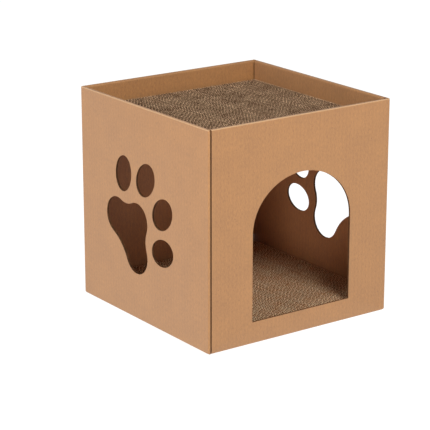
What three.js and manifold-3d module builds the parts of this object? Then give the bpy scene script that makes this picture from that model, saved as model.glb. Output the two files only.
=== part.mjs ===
// Cardboard cat house: a cube of folded corrugated board with an arched door, a paw-shaped
// window in each side, a scratch pad on its floor and a second pad in the tray on its roof.
// Millimetres, +Z up. The door faces -Y and the origin is the centre of the footprint.
import * as THREE from "three";
import { mergeVertices } from "three/addons/utils/BufferGeometryUtils.js";
import Module from "manifold-3d";

const wasm = await Module();
wasm.setup();

// Whole house
const WIDTH = 300; // along the front
const DEPTH = 305; // front to back
const HEIGHT = 300;

// Corrugated board and how it folds
const BOARD = 3; // thickness of the sheet
const FOLD_RADIUS = 2; // outside of an upright or bottom crease
const RIDGE_OUTER_RADIUS = 1.1; // outer shoulder of the doubled rim, kept crisp by the crease
const RIDGE_INNER_RADIUS = 2.6; // inner shoulder, where the second layer turns down
const FIT = 0.3; // gap between pieces that touch
const SEAM = 2; // open slit where two sheets meet at a corner
const SWING_CLEARANCE = 0.5; // air that a side wall's flaps keep as it swings open
const OVERRUN = 10; // how far a cutter reaches past what it cuts

// Tray on the roof, with the rim folded down inside the walls
const RIM_DROP = 27; // top of the rim down to the face of the upper pad
const SIDE_SHELF_REACH = 70; // from the outer face of a side wall to its flap's free edge
const SHELF_SIDE_GAP = 1.5; // between a front or back shelf flap and the side walls
const SHELF_JOINT_GAP = 0.5; // between the front and back shelf flaps where they meet
const TONGUE_LENGTH = 24; // dovetail that locks the front shelf flap to the back one
const TONGUE_NECK = 70;
const TONGUE_HEAD = 88;

// Flaps under the floor pad
const BOTTOM_REACH = 70; // from a wall's outer face to the flap's free edge
const BOTTOM_MITRE_GAP = 1.5; // each flap's end to the diagonal of its corner

// Tuck flaps that close the two open corners from the inside
const TUCK_REACH = 33; // from the side wall's outer face to the flap's free edge
const TUCK_END_GAP = 8.5; // above the floor pad, and below the shelf flaps
const TUCK_BEVEL = 12; // the free edge is shorter by this at each end

// Laminated scratch pads
const PAD_THICKNESS = 22;
const PAD_SIDE_GAP = 0.7; // to the rims left and right
const PAD_END_GAP = 0.5; // to the tuck flaps front and back
const STRIP = 3.9; // one strip of corrugated board in the pad
const STRIP_RIB = 1.1; // the liners between two strips, with the flute crests glued to them
const PORE_DEPTH = 2.5; // how deep the open flutes between two ribs show

// Arched door in the front wall
const DOOR_WIDTH = 163;
const DOOR_CENTRE = 2; // right of the wall's middle
const DOOR_SILL = 30;
const DOOR_SPRING = 150; // where the arch starts
const DOOR_ARCH = 73; // rise of the arch

// Paw window, drawn upright about its own centre and then turned on the wall
const PAW_TURN = THREE.MathUtils.degToRad(-44);
const LEFT_PAW = { x: -7.5, z: 146 }; // centre, seen from outside the wall
const RIGHT_PAW = { x: -13.5, z: 152 };
const OUTER_TOE = { x: 64.4, z: 12.5, wide: 38, tall: 51.2, lean: 33 };
const INNER_TOE = { x: 27.4, z: 50.8, wide: 40, tall: 52, lean: 6 };
const PALM_TOP = { z: -9.5, radius: 26 };
const PALM_LOBE = { x: 32.5, z: -44.5, radius: 26.5 };
const PALM_WAIST_RADIUS = 35; // hollow between the top and each lobe
const PALM_HEEL_RADIUS = 70; // shallow hollow between the two lobes

// Facets on round stretches
const FOLD_FACETS = 3;
const DOOR_FACETS = 20;
const TOE_FACETS = 24;
const PALM_FACETS = 8;

// Levels and faces that follow from the sizes above
const foldRadius = Math.min(FOLD_RADIUS, BOARD);
const ridgeOuter = Math.min(RIDGE_OUTER_RADIUS, BOARD);
const ridgeInner = Math.min(RIDGE_INNER_RADIUS, BOARD);
const linerOuter = BOARD + FIT;
const linerInner = linerOuter + BOARD;
const shelfStart = linerInner + FIT;
const upperPadTop = HEIGHT - RIM_DROP;
const upperPadBottom = upperPadTop - PAD_THICKNESS;
const sideShelfBottom = upperPadBottom - FIT - BOARD;
const endShelfBottom = sideShelfBottom - FIT - BOARD;
const flapStart = BOARD + FIT;
const lowerPadBottom = flapStart;
const tuckLow = lowerPadBottom + PAD_THICKNESS + TUCK_END_GAP;
const tuckHigh = endShelfBottom - TUCK_END_GAP;

// A side wall swings about its rear or front corner, so its flaps stay inside these circles.
const tuckFace = Math.sqrt((DEPTH - BOARD - SWING_CLEARANCE) ** 2 - TUCK_REACH ** 2) - DEPTH / 2;
const shelfSwing = DEPTH - linerInner - SWING_CLEARANCE;
const sideShelfEnd = Math.sqrt(shelfSwing ** 2 - SIDE_SHELF_REACH ** 2) - DEPTH / 2;

const endLinerHalf = WIDTH / 2 - linerOuter;
const sideLinerHalf = DEPTH / 2 - linerInner - SEAM;
const shelfHalf = WIDTH / 2 - BOARD - SHELF_SIDE_GAP;
const shelfEdge = DEPTH / 2 - SHELF_JOINT_GAP / 2;
const padWidth = WIDTH - 2 * (linerInner + PAD_SIDE_GAP);
const padDepth = 2 * (tuckFace - BOARD - PAD_END_GAP);

const colours = { kraft: "#c49668", liner: "#a87246", flap: "#b98b60", pad: "#8a6c52" };

function polygon(points) {
  return new THREE.Shape(points.map(([x, y]) => new THREE.Vector2(x, y)));
}

// A rectangle whose four corners each have their own radius, counter-clockwise from low left.
function plate(x0, y0, x1, y1, radii) {
  const corners = [
    [x0, y0, 1, 1],
    [x1, y0, -1, 1],
    [x1, y1, -1, -1],
    [x0, y1, 1, -1],
  ];
  const shape = new THREE.Shape();
  corners.forEach(([x, y, inX, inY], i) => {
    const r = radii[i];
    if (r > 0) {
      const start = Math.PI + (i * Math.PI) / 2;
      shape.absarc(x + inX * r, y + inY * r, r, start, start + Math.PI / 2, false);
    } else if (i === 0) {
      shape.moveTo(x, y);
    } else {
      shape.lineTo(x, y);
    }
  });
  shape.closePath();
  return shape;
}

function extrude(shape, depth, facets) {
  return new THREE.ExtrudeGeometry(shape, { depth, bevelEnabled: false, curveSegments: facets });
}

// A plan outline (x, y) raised from one level to another.
function raised(shape, from, to, facets = FOLD_FACETS) {
  return extrude(shape, to - from, facets).translate(0, 0, from);
}

// A section (y, z) drawn out along x.
function drawn(shape, from, to, facets = FOLD_FACETS) {
  const turn = new THREE.Matrix4().makeBasis(
    new THREE.Vector3(0, 1, 0),
    new THREE.Vector3(0, 0, 1),
    new THREE.Vector3(1, 0, 0),
  );
  return extrude(shape, to - from, facets).applyMatrix4(turn).translate(from, 0, 0);
}

// An elevation outline (x, z) pushed through along y.
function pushed(shape, from, to, facets = FOLD_FACETS) {
  return extrude(shape, to - from, facets).rotateX(Math.PI / 2).translate(0, to, 0);
}

function solid(geometry) {
  const bare = geometry.clone();
  bare.deleteAttribute("normal");
  bare.deleteAttribute("uv");
  const merged = mergeVertices(bare);
  return new wasm.Manifold(
    new wasm.Mesh({
      numProp: 3,
      vertProperties: new Float32Array(merged.attributes.position.array),
      triVerts: new Uint32Array(merged.index.array),
    }),
  );
}

function geometryOf(body) {
  const { vertProperties, triVerts } = body.getMesh();
  const geometry = new THREE.BufferGeometry();
  geometry.setAttribute("position", new THREE.BufferAttribute(vertProperties, 3));
  geometry.setIndex(new THREE.BufferAttribute(triVerts, 1));
  return geometry;
}

function piece(name, geometry, colour) {
  const flat = geometry.index ? geometry.toNonIndexed() : geometry;
  flat.computeVertexNormals();
  const material = new THREE.MeshStandardMaterial({ color: colour, roughness: 0.9, metalness: 0 });
  const mesh = new THREE.Mesh(flat, material);
  mesh.name = name;
  return mesh;
}

// Outline of one toe of the paw, on the left of the paw's axis or on the right.
function toe({ x, z, wide, tall, lean }, hand) {
  const shape = new THREE.Shape();
  const tilt = -hand * THREE.MathUtils.degToRad(lean);
  shape.absellipse(hand * x, z, wide / 2, tall / 2, 0, 2 * Math.PI, false, tilt);
  return shape;
}

// Centre of the circle of a given radius that touches two circles from outside, on their right.
function touching(a, b, radius) {
  const dx = b.x - a.x;
  const dz = b.z - a.z;
  const apart = Math.hypot(dx, dz);
  const reachA = a.radius + radius;
  const reachB = b.radius + radius;
  const along = (apart ** 2 + reachA ** 2 - reachB ** 2) / (2 * apart);
  const aside = Math.sqrt(reachA ** 2 - along ** 2);
  return {
    x: a.x + (dx * along - dz * aside) / apart,
    z: a.z + (dz * along + dx * aside) / apart,
    radius,
  };
}

function bearing(from, to) {
  return Math.atan2(to.z - from.z, to.x - from.x);
}

// Outline of the palm: a round top, two round lobes and smooth hollows between them.
function palm() {
  const top = { x: 0, ...PALM_TOP };
  const right = PALM_LOBE;
  const left = { ...right, x: -right.x };
  const waistRight = touching(top, right, PALM_WAIST_RADIUS);
  const waistLeft = { ...waistRight, x: -waistRight.x };
  const heel = touching(right, left, PALM_HEEL_RADIUS);
  const ring = [top, waistLeft, left, heel, right, waistRight];
  const shape = new THREE.Shape();
  ring.forEach((circle, i) => {
    const before = ring[(i + ring.length - 1) % ring.length];
    const after = ring[(i + 1) % ring.length];
    const hollow = i % 2 === 1;
    shape.absarc(circle.x, circle.z, circle.radius, bearing(circle, before), bearing(circle, after), hollow);
  });
  shape.closePath();
  return shape;
}

// Cutters for the whole paw, turned and moved to its place on a wall.
function pawCutters({ x, z }) {
  const outlines = [palm()];
  for (const hand of [-1, 1]) {
    outlines.push(toe(OUTER_TOE, hand), toe(INNER_TOE, hand));
  }
  return outlines.map((shape, i) => {
    const facets = i === 0 ? PALM_FACETS : TOE_FACETS;
    const cutter = extrude(shape, BOARD + 2 * OVERRUN, facets);
    cutter.rotateZ(PAW_TURN).rotateX(Math.PI / 2);
    return solid(cutter.translate(x, BOARD + OVERRUN, z));
  });
}

function doorCutter() {
  const half = DOOR_WIDTH / 2;
  const shape = new THREE.Shape();
  shape.moveTo(DOOR_CENTRE - half, DOOR_SILL);
  shape.lineTo(DOOR_CENTRE + half, DOOR_SILL);
  shape.absellipse(DOOR_CENTRE, DOOR_SPRING, half, DOOR_ARCH, 0, Math.PI, false);
  shape.closePath();
  return solid(pushed(shape, -OVERRUN, BOARD + OVERRUN, DOOR_FACETS));
}

// What a 45 degree mitre takes off one end of a wall, seen in plan. end is -1 or 1.
function mitreCutter(end, face) {
  const gap = FIT;
  const run = BOARD + OVERRUN;
  const points = [
    [end * (face - gap + OVERRUN), -OVERRUN],
    [end * (face - gap + OVERRUN), run],
    [end * (face - gap - run), run],
  ];
  return solid(raised(polygon(end < 0 ? points.reverse() : points), -OVERRUN, HEIGHT + OVERRUN));
}

// A wall in its own frame: x along it, y from the outer face inwards, z up.
function wall(start, end, plan, mitre, cutters) {
  const section = plate(0, 0, BOARD, HEIGHT, [foldRadius, 0, 0, ridgeOuter]);
  let body = solid(drawn(section, start, end));
  body = body.intersect(solid(raised(plan, -OVERRUN, HEIGHT + OVERRUN)));
  for (const cutter of [mitre, ...cutters]) {
    body = body.subtract(cutter);
  }
  return geometryOf(body);
}

// Front and back: a plain cut edge beside the open corner, and a crease at the other end.
function endWall(cutters) {
  const start = -WIDTH / 2 + BOARD + SEAM;
  const end = WIDTH / 2;
  const plan = plate(start, 0, end, BOARD, [0, foldRadius, 0, 0]);
  return wall(start, end, plan, mitreCutter(1, end), cutters);
}

// Left and right: a crease at one end, and a folded edge at the open corner.
function sideWall(cutters) {
  const end = DEPTH / 2;
  const plan = plate(-end, 0, end, BOARD, [foldRadius, foldRadius, 0, 0]);
  return wall(-end, end, plan, mitreCutter(-1, end), cutters);
}

// The inner half of the doubled rim, which hangs from the ridge down to the shelf.
function rimLiner(half, bottom) {
  const section = plate(linerOuter, bottom, linerInner, HEIGHT, [foldRadius, 0, ridgeInner, 0]);
  return drawn(section, -half, half);
}

// The front flap ends in a dovetail tongue.
function tongueFlap() {
  const outline = polygon([
    [-shelfHalf, shelfStart],
    [shelfHalf, shelfStart],
    [shelfHalf, shelfEdge],
    [TONGUE_NECK / 2, shelfEdge],
    [TONGUE_HEAD / 2, shelfEdge + TONGUE_LENGTH],
    [-TONGUE_HEAD / 2, shelfEdge + TONGUE_LENGTH],
    [-TONGUE_NECK / 2, shelfEdge],
    [-shelfHalf, shelfEdge],
  ]);
  return raised(outline, endShelfBottom, endShelfBottom + BOARD);
}

// The back flap has the slot that takes the tongue.
function slotFlap() {
  const gap = SHELF_JOINT_GAP;
  const outline = polygon([
    [-shelfHalf, shelfStart],
    [shelfHalf, shelfStart],
    [shelfHalf, shelfEdge],
    [TONGUE_NECK / 2 + gap, shelfEdge],
    [TONGUE_HEAD / 2 + gap, shelfEdge - TONGUE_LENGTH],
    [-TONGUE_HEAD / 2 - gap, shelfEdge - TONGUE_LENGTH],
    [-TONGUE_NECK / 2 - gap, shelfEdge],
    [-shelfHalf, shelfEdge],
  ]);
  return raised(outline, endShelfBottom, endShelfBottom + BOARD);
}

function sideShelfFlap() {
  const outline = polygon([
    [-sideLinerHalf, shelfStart],
    [sideLinerHalf, shelfStart],
    [sideShelfEnd, SIDE_SHELF_REACH],
    [-sideShelfEnd, SIDE_SHELF_REACH],
  ]);
  return raised(outline, sideShelfBottom, sideShelfBottom + BOARD);
}

function bottomFlap(length) {
  const half = length / 2 - BOTTOM_MITRE_GAP;
  const outline = polygon([
    [-half + flapStart, flapStart],
    [half - flapStart, flapStart],
    [half - BOTTOM_REACH, BOTTOM_REACH],
    [-half + BOTTOM_REACH, BOTTOM_REACH],
  ]);
  return raised(outline, 0, BOARD);
}

function tuckFlap() {
  const outline = polygon([
    [flapStart, tuckLow],
    [TUCK_REACH, tuckLow + TUCK_BEVEL],
    [TUCK_REACH, tuckHigh - TUCK_BEVEL],
    [flapStart, tuckHigh],
  ]);
  return drawn(outline, tuckFace - BOARD, tuckFace);
}

// A pad of upright strips that run front to back. The liners between the strips stand as ribs, and
// the open flutes of each strip are one groove.
function scratchPad(bottom) {
  const top = bottom + PAD_THICKNESS;
  const floor = top - PORE_DEPTH;
  const count = Math.max(1, Math.round(padWidth / STRIP));
  const strip = padWidth / count;
  const points = [
    [-padWidth / 2, bottom],
    [padWidth / 2, bottom],
    [padWidth / 2, top],
  ];
  for (let i = count - 1; i >= 0; i -= 1) {
    const start = -padWidth / 2 + i * strip + STRIP_RIB / 2;
    const end = start + strip - STRIP_RIB;
    points.push([end, top], [end, floor], [start, floor], [start, top]);
  }
  points.push([-padWidth / 2, top]);
  return pushed(polygon(points), -padDepth / 2, padDepth / 2);
}

// One side of the house: a group at the foot of its outer face, turned to face outwards.
function side(turns, x, y, pieces) {
  const group = new THREE.Group();
  group.position.set(x, y, 0);
  group.rotation.z = (turns * Math.PI) / 2;
  group.add(...pieces);
  return group;
}

const front = side(0, 0, -DEPTH / 2, [
  piece("front_wall", endWall([doorCutter()]), colours.kraft),
  piece("front_rim_liner", rimLiner(endLinerHalf, endShelfBottom), colours.liner),
  piece("front_shelf_flap", tongueFlap(), colours.flap),
  piece("front_bottom_flap", bottomFlap(WIDTH), colours.flap),
]);

const back = side(2, 0, DEPTH / 2, [
  piece("back_wall", endWall([]), colours.kraft),
  piece("back_rim_liner", rimLiner(endLinerHalf, endShelfBottom), colours.liner),
  piece("back_shelf_flap", slotFlap(), colours.flap),
  piece("back_bottom_flap", bottomFlap(WIDTH), colours.flap),
]);

const left = side(-1, -WIDTH / 2, 0, [
  piece("left_wall", sideWall(pawCutters(LEFT_PAW)), colours.kraft),
  piece("left_rim_liner", rimLiner(sideLinerHalf, sideShelfBottom), colours.liner),
  piece("left_shelf_flap", sideShelfFlap(), colours.flap),
  piece("left_bottom_flap", bottomFlap(DEPTH), colours.flap),
  piece("left_tuck_flap", tuckFlap(), colours.flap),
]);

const right = side(1, WIDTH / 2, 0, [
  piece("right_wall", sideWall(pawCutters(RIGHT_PAW)), colours.kraft),
  piece("right_rim_liner", rimLiner(sideLinerHalf, sideShelfBottom), colours.liner),
  piece("right_shelf_flap", sideShelfFlap(), colours.flap),
  piece("right_bottom_flap", bottomFlap(DEPTH), colours.flap),
  piece("right_tuck_flap", tuckFlap(), colours.flap),
]);

const pads = [
  piece("lower_scratch_pad", scratchPad(lowerPadBottom), colours.pad),
  piece("upper_scratch_pad", scratchPad(upperPadBottom), colours.pad),
];

const house = new THREE.Group();
house.add(front, back, left, right, ...pads);

export default house;
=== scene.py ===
# %% [markdown]
# A cardboard cat house
#
# The real object is a few sheets of corrugated board and two scratch pads. The sheets are die cut,
# creased and folded into a cube with a tray on its roof. This lesson dresses the fixed model of the
# house: it builds the boards with their folds and fluted cores, the pads from glued strips, and the
# paper that all of it is made of.

import math
import random

import bmesh
import bpy
from mathutils import Matrix, Vector, noise


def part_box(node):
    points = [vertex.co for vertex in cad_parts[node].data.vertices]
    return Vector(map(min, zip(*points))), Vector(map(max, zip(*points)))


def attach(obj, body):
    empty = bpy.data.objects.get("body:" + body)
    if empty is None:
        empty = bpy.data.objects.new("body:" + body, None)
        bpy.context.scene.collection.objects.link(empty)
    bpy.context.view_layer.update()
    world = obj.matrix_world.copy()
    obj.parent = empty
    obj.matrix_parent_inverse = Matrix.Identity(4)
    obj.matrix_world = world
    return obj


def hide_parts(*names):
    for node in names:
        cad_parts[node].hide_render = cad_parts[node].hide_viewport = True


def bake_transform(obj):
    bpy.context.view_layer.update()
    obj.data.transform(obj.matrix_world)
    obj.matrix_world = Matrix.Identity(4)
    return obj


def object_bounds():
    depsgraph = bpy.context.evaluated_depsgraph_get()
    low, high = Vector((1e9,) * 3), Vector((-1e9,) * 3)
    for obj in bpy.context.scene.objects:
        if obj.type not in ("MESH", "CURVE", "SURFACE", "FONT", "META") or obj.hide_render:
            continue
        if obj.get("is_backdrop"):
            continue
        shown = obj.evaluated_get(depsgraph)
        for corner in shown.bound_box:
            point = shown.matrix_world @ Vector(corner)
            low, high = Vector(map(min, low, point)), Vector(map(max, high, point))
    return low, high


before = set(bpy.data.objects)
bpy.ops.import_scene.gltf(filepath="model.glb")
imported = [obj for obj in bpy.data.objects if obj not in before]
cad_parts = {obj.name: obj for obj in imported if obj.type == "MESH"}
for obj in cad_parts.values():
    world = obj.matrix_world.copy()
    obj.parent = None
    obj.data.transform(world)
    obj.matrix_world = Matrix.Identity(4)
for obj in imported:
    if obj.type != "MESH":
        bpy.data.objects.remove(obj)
cad_low, cad_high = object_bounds()
MM = 0.001
print("nodes", len(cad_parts), "house in mm", [round(v / MM, 1) for v in cad_high - cad_low])

# %% [markdown]
# The camera comes first, so that every later piece can be judged through it. The house is seen from
# its front left corner and a little from above, through a long lens, which keeps its edges nearly
# parallel. The angles and the distance were found by matching the corners of the cube.

# %% Camera
CAMERA_AZIMUTH = -35.592
CAMERA_ELEVATION = 17.005
CAMERA_DISTANCE = 2.587
CAMERA_AIM = (0.0002, 0.043, 0.1147)
LENS_MM = 154.02

camera = bpy.data.objects.new("camera", bpy.data.cameras.new("camera"))
camera.data.lens = LENS_MM
turn = Matrix.Rotation(math.radians(CAMERA_AZIMUTH), 4, "Z")
tilt = Matrix.Rotation(math.radians(90 - CAMERA_ELEVATION), 4, "X")
step_back = Matrix.Translation((0, 0, CAMERA_DISTANCE))
camera.matrix_world = Matrix.Translation(CAMERA_AIM) @ turn @ tilt @ step_back
bpy.context.collection.objects.link(camera)
bpy.context.scene.camera = camera
print("camera at", [round(v, 3) for v in camera.matrix_world.translation])

# %% [markdown]
# Each side of the house is drawn in one frame of its own: x runs along the wall, y from its outer
# face inwards and z up. One matrix for each side then turns the finished board to its place. So a
# wall is written once and used four times, and its sizes are read from the fixed model.

# %% Frames of the four sides
WIDTH, DEPTH, HEIGHT = cad_high - cad_low
UP = Vector((0, 0, 1))
INWARD = Vector((0, 1, 0))


def side_frame(turns, x, y):
    """A frame turned by so many quarter turns, whose origin is the middle of the wall's foot."""
    return Matrix.Translation((x, y, 0)) @ Matrix.Rotation(turns * math.pi / 2, 4, "Z")


SIDES = {
    "front": side_frame(0, 0, -DEPTH / 2),
    "right": side_frame(1, WIDTH / 2, 0),
    "back": side_frame(2, 0, DEPTH / 2),
    "left": side_frame(-1, -WIDTH / 2, 0),
}
SHELL_SIDES = ("front", "back")  # these two stay while the others swing
BODIES = {"front": "house_shell", "back": "house_shell", "left": "left_side", "right": "right_side"}


def local_box(side, part):
    """Lowest and highest corner of a node, in the frame of its side."""
    back_home = SIDES[side].inverted()
    a, b = [back_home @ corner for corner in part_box(f"{side}_{part}")]
    return Vector(map(min, a, b)), Vector(map(max, a, b))


wall_low, wall_high = local_box("front", "wall")
BOARD = wall_high.y - wall_low.y
print("board", round(BOARD / MM, 2), "mm")

# %% [markdown]
# Every colour is written as the sRGB value that one would pick from a swatch of the paper. Blender
# works in linear light, so one function turns the swatch to linear. Another adds a node with its
# settings and links in one line, which keeps a material readable.

# %% Colour and node helpers
def srgb(code):
    """Linear colour of an sRGB hex code."""
    parts = [int(code[i : i + 2], 16) / 255 for i in (1, 3, 5)]
    return [p / 12.92 if p <= 0.04045 else ((p + 0.055) / 1.055) ** 2.4 for p in parts] + [1]


def add(tree, kind, inputs=None, **settings):
    """One node, with settings as attributes, and inputs as values or as sockets to link from."""
    node = tree.nodes.new(kind)
    for name, value in settings.items():
        setattr(node, name, value)
    for name, value in (inputs or {}).items():
        if isinstance(value, bpy.types.NodeSocket):
            tree.links.new(value, node.inputs[name])
        else:
            node.inputs[name].default_value = value
    return node


def new_material(name):
    """An empty material, and its node tree with only a Principled shader and an output."""
    material = bpy.data.materials.new(name)
    material.use_nodes = True
    tree = material.node_tree
    tree.nodes.clear()
    shader = add(tree, "ShaderNodeBsdfPrincipled")
    output = add(tree, "ShaderNodeOutputMaterial")
    tree.links.new(shader.outputs["BSDF"], output.inputs["Surface"])
    return material, tree, shader


print("a mid grey in linear light", round(srgb("#808080")[0], 3))

# %% [markdown]
# Kraft liner is unbleached paper, rolled flat and uncoated, so it is matt and warm brown. Seen close
# it has three scales: short fibres that lie mostly along the machine direction, a soft cloudiness a
# few centimetres wide from uneven pulp, and a faint washboard where the paper is pulled down between
# the flutes. The washboard's stripes are also painted faintly into the colour, as painted shading. A
# few darker flecks are strewn over it.

# %% Pulp of the liner
FIBRE = (1.2 * MM, 1.2 * MM, 4.5 * MM)  # drawn coarser than real pulp, so that it still shows
CLOUD = 28 * MM
FLECK = 1.6 * MM
FIBRE_SHARE = 0.8
CLOUD_SHARE = 0.2
RIB_SHADING_SHARE = 0.02
FLECK_COLOUR = "#8a6040"


def pulp(tree, place, ribs, light, dark):
    """Colour of the paper and its fibre pattern: all scales added up and spread over two shades."""
    fibre_at = add(tree, "ShaderNodeMapping", {"Vector": place, "Scale": [1 / size for size in FIBRE]})
    wisps = {"Vector": fibre_at.outputs[0], "Scale": 1, "Detail": 4, "Roughness": 0.6}
    fibre = add(tree, "ShaderNodeTexNoise", wisps).outputs["Fac"]
    clouds = {"Vector": place, "Scale": 1 / CLOUD, "Detail": 3, "Roughness": 0.55}
    cloud = add(tree, "ShaderNodeTexNoise", clouds).outputs["Fac"]
    tone = add(tree, "ShaderNodeMath", {0: cloud, 1: CLOUD_SHARE}, operation="MULTIPLY").outputs[0]
    # the washboard's ribs go faintly into the colour too: painted shading of its relief
    for pattern, share in ((fibre, FIBRE_SHARE), (ribs, RIB_SHADING_SHARE)):
        weighed = {0: pattern, 1: share, 2: tone}
        tone = add(tree, "ShaderNodeMath", weighed, operation="MULTIPLY_ADD").outputs[0]
    spread = add(tree, "ShaderNodeMapRange", {"Value": tone, "From Min": 0.3, "From Max": 0.7})
    shades = {"Factor": spread.outputs[0], "A": srgb(dark), "B": srgb(light)}
    paper = add(tree, "ShaderNodeMix", shades, data_type="RGBA").outputs["Result"]
    speck = add(tree, "ShaderNodeTexNoise", {"Vector": place, "Scale": 1 / FLECK, "Detail": 1})
    rare = {"Value": speck.outputs["Fac"], "From Min": 0.68, "From Max": 0.8, "To Max": 0.5}
    flecks = add(tree, "ShaderNodeMapRange", rare).outputs[0]
    stain = {"Factor": flecks, "A": paper, "B": srgb(FLECK_COLOUR)}
    speckled = add(tree, "ShaderNodeMix", stain, data_type="RGBA", blend_type="MULTIPLY")
    return speckled.outputs["Result"], fibre


print("fibres of", [round(size / MM, 1) for size in FIBRE], "mm")

# %% [markdown]
# The outer shoulder of the tray's ridge is painted paler, a painted highlight where light from above
# catches the rounded fold. The flutes run upright, so the washboard repeats along the wall and never
# along z. The sheet's inner
# side is a cheaper liner with recycled fibre, which is a little redder. It shows only in the cabin,
# because the rim turns the good side into the tray.

# %% Kraft liner
FLUTE = 6.4 * MM  # pitch of the thin flute used for boxes
RIDGE_LOW = HEIGHT - 1.4 * MM  # the painted highlight starts here and is strongest at RIDGE_TOP
RIDGE_TOP = HEIGHT - 0.4 * MM
RIDGE_INNER = 1.8 * MM  # how far behind the outer face it starts
RIDGE_OUTER = 0.9 * MM  # how far behind the outer face it is palest
RIDGE_HIGHLIGHT_SHARE = 0.5
RIDGE_HIGHLIGHT_COLOUR = "#e6c091"
WASHBOARD = 0.05 * MM
KRAFT_SHADES = "#b57c3c", "#94612c"
INNER_SHADES = "#bf7a3d", "#9a5d2d"


def painted_ridge_highlight(tree, across, z, face, paper):
    """Paper with a painted highlight along the outer top edge. face is how far out the outer face lies.
    """
    out = add(tree, "ShaderNodeMath", {0: across}, operation="ABSOLUTE").outputs[0]
    near_face = {"Value": out, "From Min": face - RIDGE_INNER, "From Max": face - RIDGE_OUTER}
    shoulder = add(tree, "ShaderNodeMapRange", near_face).outputs[0]
    near_top = {"Value": z, "From Min": RIDGE_LOW, "From Max": RIDGE_TOP, "To Max": RIDGE_HIGHLIGHT_SHARE}
    high = add(tree, "ShaderNodeMapRange", near_top).outputs[0]
    ridge = add(tree, "ShaderNodeMath", {0: shoulder, 1: high}, operation="MULTIPLY").outputs[0]
    highlighted = {"Factor": ridge, "A": paper, "B": srgb(RIDGE_HIGHLIGHT_COLOUR)}
    return add(tree, "ShaderNodeMix", highlighted, data_type="RGBA").outputs["Result"]


def kraft_liner(name, along, light, dark):
    """Paper of the sheets. along is 0 where the walls run along X and 1 where they run along Y."""
    material, tree, shader = new_material(name)
    place = add(tree, "ShaderNodeTexCoord").outputs["Object"]
    parts = add(tree, "ShaderNodeSeparateXYZ", {"Vector": place}).outputs
    turns = {0: parts[along], 1: 2 * math.pi / FLUTE}
    phase = add(tree, "ShaderNodeMath", turns, operation="MULTIPLY").outputs[0]
    ribs = add(tree, "ShaderNodeMath", {0: phase}, operation="COSINE").outputs[0]
    paper, fibre = pulp(tree, place, ribs, light, dark)
    face = (DEPTH, WIDTH)[along] / 2
    # a painted highlight along the outer shoulder of the ridge
    paper = painted_ridge_highlight(tree, parts[1 - along], parts["Z"], face, paper)
    tree.links.new(paper, shader.inputs["Base Color"])
    # relief: the washboard takes the whole depth and the fibres less than a fifth of it
    fluff = add(tree, "ShaderNodeMath", {0: fibre, 1: 0.35}, operation="MULTIPLY").outputs[0]
    relief = add(tree, "ShaderNodeMath", {0: ribs, 1: 0.5, 2: fluff}, operation="MULTIPLY_ADD")
    bumps = {"Height": relief.outputs[0], "Strength": 0.5, "Distance": WASHBOARD}
    tree.links.new(add(tree, "ShaderNodeBump", bumps).outputs[0], shader.inputs["Normal"])
    # rolled but uncoated: matt, with a soft sheen from the loose fibres where it is seen edge on
    shader.inputs["Roughness"].default_value = 0.62
    shader.inputs["Specular IOR Level"].default_value = 1.0
    shader.inputs["Sheen Weight"].default_value = 0.3
    shader.inputs["Sheen Roughness"].default_value = 0.5
    return material


kraft_papers = [kraft_liner(f"kraft_liner_{axis}", i, *KRAFT_SHADES) for i, axis in enumerate("xy")]
inner_papers = [kraft_liner(f"inner_test_liner_{axis}", i, *INNER_SHADES) for i, axis in enumerate("xy")]
print("materials", [m.name for m in kraft_papers + inner_papers])

# %% [markdown]
# Where the sheet is cut, the knife leaves the raw section of the board: two thin liner edges with
# the fluting paper between them. Fluting is made of short recycled fibre, so it is greyer and darker
# than the liner. It needs no washboard, only fibre and a rough cut. The cut edge is painted darker
# than both papers, as painted shade for the open core and for the slits that it lines.

# %% Fluting paper and cut edges
PATCH_GRAINS = 12  # size of a lighter or darker patch, as so many times the grain
PATCH_SHARE = 0.3
FLUFF_RELIEF = 0.15 * MM


def rough_paper(name, light, dark, grain):
    """Paper seen on its cut or inside the flutes. grain is the size of its fluff in metres."""
    material, tree, shader = new_material(name)
    place = add(tree, "ShaderNodeTexCoord").outputs["Object"]
    fine = {"Vector": place, "Scale": 1 / grain, "Detail": 4, "Roughness": 0.65}
    fluff = add(tree, "ShaderNodeTexNoise", fine).outputs["Fac"]
    broad = {"Vector": place, "Scale": 1 / (PATCH_GRAINS * grain), "Detail": 2}
    patch = add(tree, "ShaderNodeTexNoise", broad).outputs["Fac"]
    both = {0: patch, 1: PATCH_SHARE, 2: fluff}
    tone = add(tree, "ShaderNodeMath", both, operation="MULTIPLY_ADD").outputs[0]
    spread = add(tree, "ShaderNodeMapRange", {"Value": tone, "From Min": 0.5, "From Max": 0.8})
    shades = {"Factor": spread.outputs[0], "A": srgb(dark), "B": srgb(light)}
    paper = add(tree, "ShaderNodeMix", shades, data_type="RGBA").outputs["Result"]
    tree.links.new(paper, shader.inputs["Base Color"])
    bump = add(tree, "ShaderNodeBump", {"Height": fluff, "Strength": 0.6, "Distance": FLUFF_RELIEF})
    tree.links.new(bump.outputs[0], shader.inputs["Normal"])
    # torn and open fibre: quite dull
    shader.inputs["Roughness"].default_value = 0.92
    shader.inputs["Specular IOR Level"].default_value = 0.2
    return material


# painted shade: the cut edge is darker than the liner and the fluting
painted_shade_cut_edge = rough_paper("die_cut_edge_painted_shade", "#6d4429", "#4d2f1b", 0.9 * MM)
fluting = rough_paper("fluting_paper", "#7d5a3c", "#5d3f28", 1.1 * MM)
LINER, CUT, CORE, INNER = range(4)  # material slots of every board


def board_papers(side):
    """Materials of a board in the order of its slots, with the washboard along its side."""
    along = 0 if side in SHELL_SIDES else 1
    return [kraft_papers[along], painted_shade_cut_edge, fluting, inner_papers[along]]


print("slots of a board", [m.name for m in board_papers("front")])

# %% [markdown]
# A board is built as a designer would fold it from boxes: the wall and the rim's inner layer are
# boxes as thick as the sheet. The folds are bevelled round and the mitred corners are cut with a
# plane. An extrusion keeps its first face as the other end, so that a thickened shape is closed.

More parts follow.
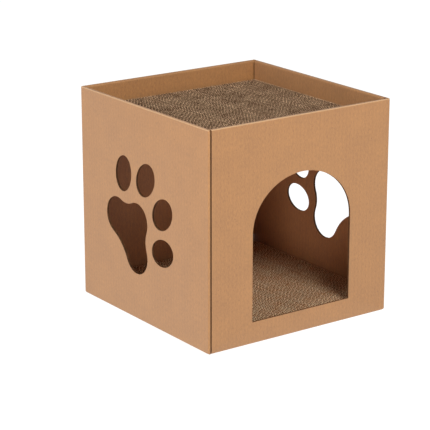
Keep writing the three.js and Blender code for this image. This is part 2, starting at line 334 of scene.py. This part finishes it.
# %% Boxes, rounds and slices
FOLD = 2 * MM  # outside radius of an upright or bottom crease
FOLD_ROOM = 2.6 * MM  # radius of the boards themselves where a strip of liner lies round the crease
FOOT_ROOM = 2.5 * MM  # the same at the foot of a wall
RIDGE_OUT = 1.1 * MM  # outer shoulder of the doubled rim, which the crease keeps crisp
RIDGE_IN = 2.6 * MM  # inner shoulder, where the second layer turns down
ROUND_STEPS = 6
NEAR = MM / 100  # two places closer than this count as one


def only(kind, geom):
    """The vertices, edges or faces in what an operator gives back."""
    return [g for g in geom if isinstance(g, kind)]


def everything(bm):
    """All vertices, edges and faces, for the operators that want a whole shape."""
    return bm.verts[:] + bm.edges[:] + bm.faces[:]


def box(low, high):
    """A closed box between two corners."""
    bm = bmesh.new()
    bmesh.ops.create_cube(bm, size=1)
    low, high = Vector(low), Vector(high)
    bmesh.ops.scale(bm, vec=high - low, verts=bm.verts)
    bmesh.ops.translate(bm, vec=(low + high) / 2, verts=bm.verts)
    return bm


def round_edges(bm, chosen, radius):
    """Bevels each edge that chosen accepts, which gets the edge's middle and its faces' normals."""
    bm.normal_update()
    edges = []
    for edge in bm.edges:
        middle = (edge.verts[0].co + edge.verts[1].co) / 2
        if chosen(middle, [face.normal for face in edge.link_faces]):
            edges.append(edge)
    shape = {"offset": radius, "segments": ROUND_STEPS, "profile": 0.5, "material": -1}
    bmesh.ops.bevel(bm, geom=edges, affect="EDGES", clamp_overlap=False, **shape)


def slice_off(bm, point, normal, slot):
    """Cuts away what lies beyond a plane and closes the cut with one face."""
    plane = {"plane_co": point, "plane_no": normal}
    cut = bmesh.ops.bisect_plane(bm, geom=everything(bm), clear_outer=True, **plane)
    edges = only(bmesh.types.BMEdge, cut["geom_cut"])
    for face in bmesh.ops.edgeloop_fill(bm, edges=edges)["faces"]:
        face.material_index = slot
    bmesh.ops.recalc_face_normals(bm, faces=bm.faces)


def extruded(bm, faces):
    """Extrudes faces and gives the new vertices, which are still to be moved."""
    grown = bmesh.ops.extrude_face_region(bm, geom=faces, use_keep_orig=True)["geom"]
    return only(bmesh.types.BMVert, grown)


print("folds in mm", [round(r / MM, 1) for r in (FOLD, RIDGE_OUT, RIDGE_IN)])

# %% [markdown]
# The boxes are joined along their creases, and the open parts, such as the door, are cut out
# afterwards, as the die does. Both are done with a boolean modifier, because it also keeps the
# materials of the two shapes apart. A channel of the core that no cut opens is left as a shell of
# its own inside the board. Nobody can see it, so only the board's own skin is kept.

# %% Joining, cutting and finishing
SHARP_ANGLE = 28


def joined(*parts):
    """One bmesh that holds all the given ones, which are used up."""
    whole = bmesh.new()
    for part in parts:
        mesh = bpy.data.meshes.new("part")
        part.to_mesh(mesh)
        part.free()
        whole.from_mesh(mesh)
        bpy.data.meshes.remove(mesh)
    return whole


def to_object(bm, name, materials):
    """An object in the scene with outward faces. The bmesh is used up."""
    mesh = bpy.data.meshes.new(name)
    bmesh.ops.recalc_face_normals(bm, faces=bm.faces)
    bm.to_mesh(mesh)
    bm.free()
    for material in materials:
        mesh.materials.append(material)
    thing = bpy.data.objects.new(name, mesh)
    bpy.context.collection.objects.link(thing)
    return thing


def combined(body, tool, operation, materials):
    """A new bmesh: body with tool joined to it or cut out of it. Both bmeshes are used up."""
    target = to_object(body, "boolean_body", materials)
    cutter = to_object(tool, "boolean_tool", materials)
    step = target.modifiers.new("boolean", "BOOLEAN")
    step.object = cutter
    step.operation = operation
    step.solver = "EXACT"
    graph = bpy.context.evaluated_depsgraph_get()
    result = bmesh.new()
    result.from_mesh(target.evaluated_get(graph).to_mesh())
    for used in (target, cutter):
        mesh = used.data
        bpy.data.objects.remove(used)
        bpy.data.meshes.remove(mesh)
    return result


def outer_skin(bm):
    """Keeps the largest connected part, which is the skin of the board."""
    left = set(bm.faces)
    parts = []
    while left:
        part, reached = set(), [left.pop()]
        while reached:
            face = reached.pop()
            part.add(face)
            near = {other for edge in face.edges for other in edge.link_faces} & left
            left -= near
            reached += near
        parts.append(part)
    skin = max(parts, key=len)
    bmesh.ops.delete(bm, geom=[face for face in bm.faces if face not in skin], context="FACES")
    return bm


def finished(bm, name, materials, side):
    """Turns a board to its side of the house and shades its rounds smooth and its corners sharp."""
    bmesh.ops.transform(bm, matrix=SIDES[side], verts=bm.verts)
    piece = to_object(bm, name, materials)
    piece.data.shade_smooth()
    piece.data.set_sharp_from_angle(angle=math.radians(SHARP_ANGLE))
    return piece


print("corners are sharp from", SHARP_ANGLE, "degrees")

# %% [markdown]
# Corrugated board is not solid. Its core is one wavy sheet glued between the liners, and where the
# die cuts across it the small arched channels lie open. They could be faked with a picture on the
# edge, but real channels catch the light and stay true from every side. So the air is modelled: one
# channel is a grid bent to an arch and pushed along the flute, it is copied along the wall above and
# below the wave, and the whole comb is cut out of the board.

# %% Channels of the fluted core
LINER_THICK = 0.4 * MM
FLUTING_THICK = 0.45 * MM  # measured through the board, so it looks thinner on the slope of a wave
CHANNEL_STEPS = 8
CHANNEL_END_SHARE = 0.06  # of a pitch, where the channel closes against the glue line
CRUSHED = 5 * MM  # length without channels beside a fold


def channel(comb, start, low, above):
    """Faces of the low end of the channel at start along x, under the wave or above it."""
    swing = BOARD / 2 - LINER_THICK - FLUTING_THICK / 2
    grid = bmesh.ops.create_grid(comb, x_segments=CHANNEL_STEPS, y_segments=1, size=0.5)["verts"]
    for v in grid:
        share = CHANNEL_END_SHARE + (v.co.x + 0.5) * (1 - 2 * CHANNEL_END_SHARE)
        bend = BOARD / 2 - swing * math.cos(2 * math.pi * share) - FLUTING_THICK / 2
        y = LINER_THICK if v.co.y < 0 else bend
        if above:
            y, share = BOARD - y, share + 0.5
        v.co = (start + share * FLUTE, y, low)
    return list({face for v in grid for face in v.link_faces})


def channels(start, end, low, high):
    """Air in the core: channels from low to high along z, side by side along x from start to end."""
    comb = bmesh.new()
    for above in (False, True):
        faces = channel(comb, start, low, above)
        bmesh.ops.translate(comb, vec=(0, 0, high - low), verts=extruded(comb, faces))
    first = everything(comb)
    for i in range(1, int((end - start) / FLUTE)):
        copy = bmesh.ops.duplicate(comb, geom=first)["geom"]
        bmesh.ops.translate(comb, vec=(i * FLUTE, 0, 0), verts=only(bmesh.types.BMVert, copy))
    for face in comb.faces:
        face.material_index = CORE
    return comb


def lying_channels(low, high):
    """Channels of a flat flap, which run away from its fold and open at its free edges."""
    comb = channels(low.x - FLUTE / 2, high.x + FLUTE, low.y + CRUSHED, high.y + CRUSHED)
    lay = Matrix.Translation((0, 0, high.z)) @ Matrix.Rotation(-math.pi / 2, 4, "X")
    bmesh.ops.transform(comb, matrix=lay, verts=comb.verts)
    return comb


print("channels along the front", 2 * int(WIDTH / FLUTE))

# %% [markdown]
# The door is a rectangle under a flat arch. A disc is scaled to the arch's ellipse, its lower half
# is cut away, and the straight edge that is left is pulled down to the sill.

# %% Door cutter
DOOR_WIDTH = 163 * MM
DOOR_CENTRE = 2 * MM
DOOR_SILL = 30 * MM
DOOR_SPRING = 150 * MM  # where the arch starts
DOOR_ARCH = 73 * MM
ARCH_SEGMENTS = 96  # of the whole disc
CUT_REACH = 4 * MM  # how far a cutter stands out of the board


def thickened(bm):
    """Stands a flat outline up in the wall, as a die cutter that goes right through the board."""
    depth = BOARD + 2 * CUT_REACH
    bmesh.ops.translate(bm, vec=(0, 0, depth), verts=extruded(bm, bm.faces[:]))
    stand = Matrix.Translation((0, BOARD + CUT_REACH, 0)) @ Matrix.Rotation(math.pi / 2, 4, "X")
    bmesh.ops.transform(bm, matrix=stand, verts=bm.verts)
    for face in bm.faces:
        face.material_index = CUT
    return bm


def door_cutter():
    """The door's outline, in the frame of the front, as a cutter."""
    bm = bmesh.new()
    bmesh.ops.create_circle(bm, cap_ends=True, radius=1, segments=ARCH_SEGMENTS)
    bmesh.ops.scale(bm, vec=(DOOR_WIDTH / 2, DOOR_ARCH, 1), verts=bm.verts)
    plane = {"plane_co": (0, 0, 0), "plane_no": (0, -1, 0)}
    bmesh.ops.bisect_plane(bm, geom=everything(bm), clear_outer=True, **plane)
    flat = [edge for edge in bm.edges if all(abs(v.co.y) < NEAR for v in edge.verts)]
    pulled = bmesh.ops.extrude_edge_only(bm, edges=flat)["geom"]
    drop = DOOR_SILL - DOOR_SPRING
    bmesh.ops.translate(bm, vec=(0, drop, 0), verts=only(bmesh.types.BMVert, pulled))
    bmesh.ops.dissolve_edges(bm, edges=flat, use_verts=False)
    bmesh.ops.translate(bm, vec=(DOOR_CENTRE, DOOR_SPRING, 0), verts=bm.verts)
    return thickened(bm)


print("top of the door", round((DOOR_SPRING + DOOR_ARCH) / MM), "mm above the table")

# %% [markdown]
# The window is a paw: four oval toes round a palm. A toe is a disc scaled to an oval, leant and
# moved. The palm's outline is six arcs that run smoothly into each other, so it is drawn the way a
# compass would: one point is spun about the first centre, and the point where that arc ends is spun
# about the next. Where three round bulges meet, the hollows between them are circles that touch both.

# %% Paw cutter
PAW_TURN = -44
PAWS = {"left": (-7.5 * MM, 146 * MM), "right": (-13.5 * MM, 152 * MM)}  # x and z of the centre
# the paw itself is drawn in millimetres and scaled at the end
TOES = {"outer": (64.4, 12.5, 38, 51.2, 33), "inner": (27.4, 50.8, 40, 52, 6)}  # x, z, wide, tall, lean
PALM_TOP = (0, -9.5, 26)  # x, z, radius
PALM_LOBE = (32.5, -44.5, 26.5)
PALM_WAIST = 35  # radius of the hollow between the top and a lobe
PALM_HEEL = 70  # radius of the shallow hollow between the lobes
ARC_STEPS = 14
TOE_SEGMENTS = 56
ARC_ENDS_MEET = 0.01  # how close two ends must be to become one point


def touching(a, b, radius):
    """The circle of this radius that touches circles a and b from outside, on the right of a to b."""
    dx, dz = b[0] - a[0], b[1] - a[1]
    apart = math.hypot(dx, dz)
    along = (apart**2 + (a[2] + radius) ** 2 - (b[2] + radius) ** 2) / (2 * apart)
    aside = math.sqrt((a[2] + radius) ** 2 - along**2)
    return a[0] + (dx * along - dz * aside) / apart, a[1] + (dz * along + dx * aside) / apart, radius


def palm_arcs():
    """The six circles round the palm, each with the bearings from its centre to the ones beside it."""
    left_lobe = (-PALM_LOBE[0], *PALM_LOBE[1:])
    waist = touching(PALM_TOP, PALM_LOBE, PALM_WAIST)
    heel = touching(PALM_LOBE, left_lobe, PALM_HEEL)
    ring = [PALM_TOP, (-waist[0], *waist[1:]), left_lobe, heel, PALM_LOBE, waist]
    bearings = []
    for i, here in enumerate(ring):
        beside = ring[i - 1], ring[(i + 1) % len(ring)]
        bearings.append([math.atan2(other[1] - here[1], other[0] - here[0]) for other in beside])
    return list(zip(ring, bearings))


def palm_outline(bm):
    """Draws the palm as one flat face. A bulge is spun anticlockwise and a hollow clockwise."""
    arcs = palm_arcs()
    (x, z, radius), (begin, _) = arcs[0]
    point = [bm.verts.new((x + radius * math.cos(begin), z + radius * math.sin(begin), 0))]
    for i, ((x, z, radius), (begin, end)) in enumerate(arcs):
        hollow = i % 2 == 1
        sweep = (end - begin) % (2 * math.pi) - (2 * math.pi if hollow else 0)
        arc = {"cent": (x, z, 0), "axis": (0, 0, 1), "angle": sweep, "steps": ARC_STEPS}
        point = only(bmesh.types.BMVert, bmesh.ops.spin(bm, geom=point, **arc)["geom_last"])
    bmesh.ops.remove_doubles(bm, verts=bm.verts, dist=ARC_ENDS_MEET)
    bmesh.ops.contextual_create(bm, geom=bm.edges[:])


def paw_cutter(x, z):
    """The paw with its centre at x, z of a side's frame, as a cutter."""
    bm = bmesh.new()
    palm_outline(bm)
    for hand in (-1, 1):
        for toe_x, toe_z, wide, tall, lean in TOES.values():
            toe = bmesh.ops.create_circle(bm, cap_ends=True, radius=0.5, segments=TOE_SEGMENTS)["verts"]
            leant = Matrix.Rotation(-hand * math.radians(lean), 4, "Z")
            lie = Matrix.Translation((hand * toe_x, toe_z, 0)) @ leant
            bmesh.ops.transform(bm, matrix=lie @ Matrix.Diagonal((wide, tall, 1, 1)), verts=toe)
    turned = Matrix.Rotation(math.radians(PAW_TURN), 4, "Z") @ Matrix.Scale(MM, 4)
    bmesh.ops.transform(bm, matrix=Matrix.Translation((x, z, 0)) @ turned, verts=bm.verts)
    return thickened(bm)


print("arcs round the palm", len(palm_arcs()), "toes", 2 * len(TOES))

# %% [markdown]
# Each side is one continuous sheet: it rises as the outer wall, folds over the ridge, comes down as
# the inner layer of the rim and folds again into the shelf that carries the upper pad. The pieces of
# the sheet are joined by narrow strips a little lower than their faces, which leaves the fine groove
# that a crease has.

# %% Panels of a sheet
GROOVE = 0.25 * MM  # depth of the groove along a crease
MITRE_GAP = 0.03 * MM
RIDGE_CRUSH = 4 * MM
FACING = 0.9  # a face points along an axis if its normal has more than this of it
SLANTED = 0.3  # and is no cut edge if it has more than this
OUT_AT_ALL = -0.01
LEVEL = 0.5


def leans_out(normals):
    """Whether one of the normals points out of the house and about level."""
    return any(n.y < OUT_AT_ALL and abs(n.z) < LEVEL for n in normals)


def plate(node, side, inner_way):
    """A flap of the fixed model as a clean bmesh, in the frame of its side. Its inner face looks along
    inner_way."""
    bm = bmesh.new()
    bm.from_mesh(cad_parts[node].data)
    bmesh.ops.transform(bm, matrix=SIDES[side].inverted(), verts=bm.verts)
    bmesh.ops.remove_doubles(bm, verts=bm.verts, dist=NEAR)
    bmesh.ops.dissolve_limit(bm, angle_limit=math.radians(1), verts=bm.verts, edges=bm.edges)
    bm.normal_update()
    for face in bm.faces:
        way = face.normal.dot(inner_way)
        face.material_index = INNER if way > SLANTED else LINER if way < -SLANTED else CUT
    return bm


def wall_box(side):
    """The outer wall, with rounded folds at its top, its foot and its upright creases."""
    low, high = local_box(side, "wall")
    folded_ends = [high.x] if side in SHELL_SIDES else [low.x, high.x]
    mitre_end = high.x if side in SHELL_SIDES else low.x
    bm = box(low, high)
    bm.normal_update()
    for face in bm.faces:
        cut_end = abs(face.normal.x) > FACING and face.calc_center_median().x not in folded_ends
        face.material_index = CUT if cut_end else INNER if face.normal.y > FACING else LINER
    for end in folded_ends:
        radius = FOLD_ROOM if end == mitre_end else FOLD
        round_edges(bm, lambda p, n: abs(p.y) < NEAR and abs(p.x - end) < NEAR, radius)
    round_edges(bm, lambda p, n: abs(p.z) < NEAR and leans_out(n), FOOT_ROOM)
    round_edges(bm, lambda p, n: abs(p.z - high.z) < NEAR and leans_out(n), RIDGE_OUT)
    way = 1 if mitre_end > 0 else -1
    slice_off(bm, (mitre_end - way * MITRE_GAP, 0, 0), (way, 1, 0), LINER)
    return bm


def rim_box(low, high):
    """The rim's inner layer, round where it leaves the ridge and where it turns to the shelf."""
    bm = box(low, high)
    bm.normal_update()
    for face in bm.faces:
        cut_end = abs(face.normal.x) > FACING
        face.material_index = CUT if cut_end else INNER if face.normal.y < -FACING else LINER
    round_edges(bm, lambda p, n: abs(p.y - high.y) < NEAR and abs(p.z - high.z) < NEAR, RIDGE_IN)
    round_edges(bm, lambda p, n: abs(p.y - low.y) < NEAR and abs(p.z - low.z) < NEAR, FOLD)
    return bm


def fold_strips(wall, rim, shelf):
    """The two narrow strips that join the wall to the rim and the rim to the shelf."""
    start, end = max(wall[0].x, rim[0].x), min(wall[1].x, rim[1].x)
    ridge_low = start, BOARD - GROOVE, HEIGHT - RIDGE_CRUSH
    ridge_high = end, rim[0].y + GROOVE, HEIGHT - GROOVE
    lip_low = shelf[0].x + GROOVE, rim[1].y - GROOVE, shelf[0].z + GROOVE
    lip_high = shelf[1].x - GROOVE, shelf[0].y + GROOVE, shelf[1].z - GROOVE
    return joined(box(ridge_low, ridge_high), box(lip_low, lip_high))


print("groove of a crease", round(GROOVE / MM, 2), "mm deep")

# %% [markdown]
# Now the panels are folded together. The front and back sheets hold still, and each of the other two
# hangs on one upright crease. So a sheet rides on the body of its own side.

# %% Boards of the four sides
def fluted_core(side, wall, rim, shelf):
    """All channels of one sheet: upright in the wall and the rim, and lying in the shelf."""
    start = wall[0].x - FLUTE if side in SHELL_SIDES else wall[0].x + CRUSHED
    core = channels(start, wall[1].x - CRUSHED, CRUSHED, HEIGHT - CRUSHED)
    rim_core = channels(rim[0].x - FLUTE / 2, rim[1].x + FLUTE, rim[0].z + CRUSHED, HEIGHT - CRUSHED)
    bmesh.ops.translate(rim_core, vec=(0, rim[0].y, 0), verts=rim_core.verts)
    return joined(core, rim_core, lying_channels(*shelf))


def side_board(side, cutter):
    """One sheet, from its foot over the ridge to its shelf, with the door or the paw cut out."""
    wall, rim, shelf = [local_box(side, part) for part in ("wall", "rim_liner", "shelf_flap")]
    papers = board_papers(side)
    panels = joined(wall_box(side), rim_box(*rim), plate(f"{side}_shelf_flap", side, -UP))
    sheet = combined(panels, fold_strips(wall, rim, shelf), "UNION", papers)
    if cutter:
        sheet = combined(sheet, cutter, "DIFFERENCE", papers)
    sheet = combined(sheet, fluted_core(side, wall, rim, shelf), "DIFFERENCE", papers)
    board = finished(outer_skin(sheet), f"{side}_folded_board", papers, side)
    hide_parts(f"{side}_wall", f"{side}_rim_liner", f"{side}_shelf_flap")
    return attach(board, BODIES[side])


cutters = {"front": door_cutter(), "back": None}
for side, (x, z) in PAWS.items():
    cutters[side] = paw_cutter(x, z)
for side in SIDES:
    board = side_board(side, cutters[side])
    print(board.name, len(board.data.polygons), "faces")

# %% [markdown]
# The flaps that nobody sees until the house is taken apart are made of the same sheet. The fixed
# model already has their outlines, so a copy of each is cleaned and only its fluted core is cut: away
# from the fold in the bottom flaps, and upright in the two flaps that close the open corners.

# %% Bottom flaps and corner flaps
TUCK_BEHIND = {"left": "front", "right": "back"}  # the wall that each side's corner flap lies behind


def extent(bm):
    """Lowest and highest corner of a bmesh."""
    points = [v.co for v in bm.verts]
    return tuple(Vector(pick(p[i] for p in points) for i in range(3)) for pick in (min, max))


def flap(node, side, body, upright):
    """A flap with open channels. side is the frame that it is cut in."""
    outline = plate(node, side, INWARD if upright else UP)
    low, high = extent(outline)
    if upright:
        core = channels(low.x - FLUTE / 2, high.x + FLUTE, low.z - CRUSHED, high.z + CRUSHED)
        bmesh.ops.translate(core, vec=(0, low.y, 0), verts=core.verts)
    else:
        core = lying_channels(low, high)
    papers = board_papers(side)
    cut = combined(outline, core, "DIFFERENCE", papers)
    board = finished(cut, node.replace("flap", "board"), papers, side)
    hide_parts(node)
    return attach(board, body)


for side in SIDES:
    board = flap(f"{side}_bottom_flap", side, f"{side}_bottom", upright=False)
    print(board.name, len(board.data.polygons), "faces")
for side, behind in TUCK_BEHIND.items():
    board = flap(f"{side}_tuck_flap", behind, f"{side}_tuck", upright=True)
    print(board.name, len(board.data.polygons), "faces")

# %% [markdown]
# Along a crease only the outer liner runs on from one panel to the next. When a panel is folded out,
# that paper turns, and the thick core behind it gapes. So each crease that can open has a strip of
# liner of its own. It lies round the fold, and its edges are sunk in the two panels.

# %% Creases that open
CREASE_PAPER = 0.3 * MM
CREASE_HAIR = 0.02 * MM  # how far the strip stays behind the panels' faces
CREASE_SINK = 0.2 * MM  # how deep its edges go into the panels
CREASE_STEPS = 16
WALL_GRIP = 4 * MM  # how far a strip reaches over each panel
FLAP_GRIP = 5 * MM
CORNER_GRIP = 3 * MM
HANGS_ON = {"left": "back", "right": "front"}  # the wall that each side swings on


def bent_strip(corner, along, first, second):
    """A strip of liner round the edge that starts at corner and runs along. first and second point from
    the edge into the faces of the two panels, as far as the strip goes."""
    bm = bmesh.new()
    grid = bmesh.ops.create_grid(bm, x_segments=CREASE_STEPS, y_segments=1, size=0.5)["verts"]
    for v in grid:
        share = v.co.x + 0.5
        radius = FOLD - CREASE_HAIR - (CREASE_PAPER if v.co.y > 0 else 0)
        # a quarter of the strip lies on each panel, and the half between them goes round the fold
        angle = min(max(2 * share - 0.5, 0), 1) * math.pi / 2
        lead, tail = max(1 - 4 * share, 0), max(4 * share - 3, 0)
        on_first = FOLD - radius * math.sin(angle) + lead * (first.length - FOLD) + tail * CREASE_SINK
        on_second = FOLD - radius * math.cos(angle) + tail * (second.length - FOLD) + lead * CREASE_SINK
        v.co = corner + on_first * first.normalized() + on_second * second.normalized()
    bmesh.ops.translate(bm, vec=along, verts=extruded(bm, bm.faces[:]))
    return bm


def crease(name, side, corner, along, first, second):
    """A bent strip of the side's liner as a piece of its own, turned to its place."""
    strip = finished(bent_strip(corner, along, first, second), name, board_papers(side)[:1], side)
    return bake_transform(strip)


for side in SIDES:
    low, high = local_box(side, "bottom_flap")
    corner, along = Vector((low.x, 0, 0)), Vector((high.x - low.x, 0, 0))
    name = f"{side}_bottom_crease"
    strip = crease(name, side, corner, along, UP * WALL_GRIP, INWARD * FLAP_GRIP)
    print(strip.name, len(strip.data.polygons), "faces")
for side, shell_side in HANGS_ON.items():
    corner, along = Vector((local_box(shell_side, "wall")[1].x, 0, FOLD)), UP * (HEIGHT - 2 * FOLD)
    on_shell, on_side = Vector((-CORNER_GRIP, 0, 0)), INWARD * CORNER_GRIP
    strip = crease(f"{side}_side_crease", shell_side, corner, along, on_shell, on_side)
    print(strip.name, len(strip.data.polygons), "faces")

# %% [markdown]
# A scratch pad is a stack of corrugated strips, cut across their flutes, stood on edge and glued
# side by side. What one sees from above is the cut: straight liners with a wave between each two.
# Depth makes it look right, because the pores are dark where the light can't reach, and the faces of
# the strips are painted darker still, as painted shade. So every liner and every wave is a real
# ribbon, as deep as the pad. The waves start at random, as the strips do on the real pad, and drift
# a little, because the board was never perfectly even.

# %% Ribbons of a pad
pad_low, pad_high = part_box("upper_scratch_pad")
STRIP_COUNT = 73
STRIP = (pad_high.x - pad_low.x) / STRIP_COUNT
LINER_SHEET = 0.9 * MM  # two liners, their glue and the fray that the saw leaves
LINER_SWAY = 0.12 * MM
WAVE_SHEET = 0.6 * MM
WAVE_REACH = (STRIP - LINER_SHEET - WAVE_SHEET) / 2
PAD_FLUTE = 7.5 * MM
DRIFT = 1.2  # radians
RAGGED = 0.35 * MM  # how unevenly the saw leaves the top
SWAY_LENGTH, DRIFT_LENGTH, BEND_LENGTH, FRAY_LENGTH = 30 * MM, 60 * MM, 9 * MM, 4 * MM


def liner_path(edge, sway, shift, top):
    """The middle line of a liner: its x, slope and top for each y. shift picks a stretch of noise."""
    return lambda y: (edge + sway * noise.noise((shift, y / SWAY_LENGTH, 0)), 0, top)


def wave_path(middle, pitch, phase, shift, top):
    """The middle line of a wave between two liners."""

    def path(y):
        drift = DRIFT * noise.noise((shift, y / DRIFT_LENGTH, 1))
        angle = 2 * math.pi * y / pitch + phase + drift
        bend = WAVE_REACH * (0.92 + 0.08 * noise.noise((shift, y / BEND_LENGTH, 2)))
        fray = RAGGED * (0.5 + 0.5 * noise.noise((shift, y / FRAY_LENGTH, 3)))
        slope = bend * 2 * math.pi / pitch * math.cos(angle)
        return middle + bend * math.sin(angle), slope, top - fray

    return path


def ribbon(bm, length, segments, thick, path):
    """A flat ribbon along y at the pad's top, as thick as the paper, with path as its middle line."""
    grid = bmesh.ops.create_grid(bm, x_segments=segments, y_segments=1, size=0.5)["verts"]
    for v in grid:
        y = (v.co.x + 0.5) * length
        x, slope, top = path(y)
        lean = math.atan(slope)
        aside = thick / 2 if v.co.y > 0 else -thick / 2
        v.co = (x + aside * math.cos(lean), y - aside * math.sin(lean), top)


print("strips of", round(STRIP / MM, 2), "mm, waves reach", round(WAVE_REACH / MM, 2), "mm each way")

# %% [markdown]
# The two pads have different papers: a darker, greyer one on the roof and a lighter one on the
# floor. On each, the frayed sawn tops are painted pale, a painted highlight, and the faces of the
# strips, down in the pores, are painted dark, a painted shade: one paper in a lit and a shaded copy.
# Each strip draws its own numbers from a seeded generator, so the pads never change.

# %% Scratch pads
WAVE_SEGMENTS = 7  # for each flute
LINER_SEGMENTS = 24
PITCH_LEAST, PITCH_MOST = 0.97, 1.03
NOISE_ROOM = 100  # how far apart two strips may take their stretches of noise
SAWN_PAINTED_HIGHLIGHT, STRIP_FACE_PAINTED_SHADE = range(2)  # material slots of a pad


def scratch_pad(name, node, body, seed, papers):
    """A pad of liners and waves in the box of its node."""
    low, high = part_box(node)
    dice = random.Random(seed)
    length = high.y - low.y - 2 * WAVE_SHEET
    half_liner = LINER_SHEET / 2
    bm = bmesh.new()
    for i in range(STRIP_COUNT + 1):
        edge = low.x + i * STRIP + (half_liner if i == 0 else -half_liner if i == STRIP_COUNT else 0)
        sway = 0 if i in (0, STRIP_COUNT) else LINER_SWAY
        shift = dice.uniform(0, NOISE_ROOM)
        top = high.z - dice.uniform(0, RAGGED)
        ribbon(bm, length, LINER_SEGMENTS, LINER_SHEET, liner_path(edge, sway, shift, top))
    for i in range(STRIP_COUNT):
        middle = low.x + (i + 0.5) * STRIP
        phase = dice.uniform(0, 2 * math.pi)
        shift = dice.uniform(0, NOISE_ROOM)
        top = high.z - dice.uniform(0, RAGGED)
        pitch = PAD_FLUTE * dice.uniform(PITCH_LEAST, PITCH_MOST)
        segments = round(length / pitch * WAVE_SEGMENTS)
        ribbon(bm, length, segments, WAVE_SHEET, wave_path(middle, pitch, phase, shift, top))
    for v in extruded(bm, bm.faces[:]):
        v.co.z = low.z
    bmesh.ops.translate(bm, vec=(0, low.y + WAVE_SHEET, 0), verts=bm.verts)
    bm.normal_update()
    for face in bm.faces:
        # the tops take the pale paper, a painted highlight, and the faces of the strips the dark one, a
        # painted shade
        face.material_index = SAWN_PAINTED_HIGHLIGHT if abs(face.normal.z) > 0.5 else STRIP_FACE_PAINTED_SHADE
    pad = to_object(bm, name, papers)
    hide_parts(node)
    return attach(pad, body)


# each pad: a pale paper for the sawn tops, a painted highlight, and a dark one for the strips' faces, a
# painted shade
roof_papers = [
    rough_paper("roof_sawn_edge_painted_highlight", "#fad0a4", "#7a543a", 1.6 * MM),
    rough_paper("roof_strip_paper_painted_shade", "#382418", "#27180e", 1.3 * MM),
]
floor_papers = [
    rough_paper("floor_sawn_edge_painted_highlight", "#ffe6bc", "#dea272", 1.6 * MM),
    rough_paper("floor_strip_paper_painted_shade", "#8b5b38", "#6a4025", 1.3 * MM),
]
for name, node, body, seed, papers in (
    ("roof_scratch_pad", "upper_scratch_pad", "roof_pad", 11, roof_papers),
    ("floor_scratch_pad", "lower_scratch_pad", "floor_pad", 23, floor_papers),
):
    pad = scratch_pad(name, node, body, seed, papers)
    print(name, sum(len(p.vertices) - 2 for p in pad.data.polygons), "triangles")

# %% [markdown]
# The studio is made for a picture without a shadow: a white table is lit from below, and the house is
# held above it, where a sheet of glass would be. It is so far up that its bottom flaps can hang down.
# The table keeps the background white and lights the walls from below, so the tray and the cabin,
# which it can't reach, come out darker and warmer. The room round it gives only a little light, but
# the camera sees it as white as the table.

# %% Table and surround
STAGE_HALF = 20.0
TABLE_CLEARANCE = 20 * MM  # under the hanging flaps
TABLE_LIGHT = 0.97
SURROUND_LIGHT = 0.22  # what the room gives, as a share of the table's light

flap_reach = max(local_box(side, "bottom_flap")[1].y for side in SIDES)
table_top = -flap_reach - TABLE_CLEARANCE
table_bm = bmesh.new()
bmesh.ops.create_grid(table_bm, x_segments=1, y_segments=1, size=STAGE_HALF)
acrylic, _, acrylic_shader = new_material("backlit_white_acrylic")
acrylic_shader.inputs["Base Color"].default_value = srgb("#808080")
acrylic_shader.inputs["Roughness"].default_value = 0.9
acrylic_shader.inputs["Specular IOR Level"].default_value = 0.0
acrylic_shader.inputs["Emission Color"].default_value = srgb("#ffffff")
acrylic_shader.inputs["Emission Strength"].default_value = TABLE_LIGHT
table = to_object(table_bm, "light_table", [acrylic])
table.data.transform(Matrix.Translation((0, 0, table_top)))
table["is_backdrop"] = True

world = bpy.data.worlds.new("white_surround")
world.use_nodes = True
world_tree = world.node_tree
surround = world_tree.nodes["Background"]
surround.inputs["Color"].default_value = srgb("#ffffff")
seen = add(world_tree, "ShaderNodeLightPath").outputs["Is Camera Ray"]
shown = {"Value": seen, "To Min": SURROUND_LIGHT, "To Max": 1.0}
strength = add(world_tree, "ShaderNodeMapRange", shown).outputs[0]
world_tree.links.new(strength, surround.inputs["Strength"])
bpy.context.scene.world = world
bpy.context.scene.view_settings.view_transform = "Standard"
print("table at", round(table_top / MM, 1), "mm")

# %% [markdown]
# A tall softbox stands high in front, and its light falls through the door onto the floor pad. A
# small one low in front reaches the back of the cabin. Of the two on the left, the low one shines
# through the window and the high one over the rim.

# %% Softboxes
HOUSE_MIDDLE = Vector((0, 0, 0.15))
SOFTBOXES = {  # azimuth, elevation, distance, wide, tall, brightness
    "key_softbox": (-5, 45, 3.0, 1.0, 1.5, 0.62),
    "front_softbox": (8, 14, 2.4, 0.45, 0.45, 0.07),
    "left_softbox": (-90, 8, 2.0, 0.7, 0.7, 0.27),
    "high_left_softbox": (-78, 44, 2.2, 0.8, 0.8, 0.32),
}


def softbox(name, aim, azimuth, elevation, distance, wide, tall, brightness):
    """An oval softbox. brightness is what it gives a white card at its aim, as a share of white."""
    around = Matrix.Rotation(math.radians(azimuth), 3, "Z")
    up = Matrix.Rotation(math.radians(-elevation), 3, "X")
    lamp = bpy.data.objects.new(name, bpy.data.lights.new(name, "AREA"))
    lamp.data.shape = "ELLIPSE"
    lamp.data.size = wide
    lamp.data.size_y = tall
    lamp.data.energy = brightness * (math.pi * distance) ** 2
    lamp.location = aim + around @ up @ Vector((0, -distance, 0))
    lamp.rotation_euler = (aim - lamp.location).to_track_quat("-Z", "Y").to_euler()
    bpy.context.collection.objects.link(lamp)
    return lamp


for name, settings in SOFTBOXES.items():
    lamp = softbox(name, HOUSE_MIDDLE, *settings)
    print(name, "gives", round(lamp.data.energy, 2), "W")

# %% Size of the visual model
low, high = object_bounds()
print("visual model in mm", [round(v / MM, 2) for v in high - low])
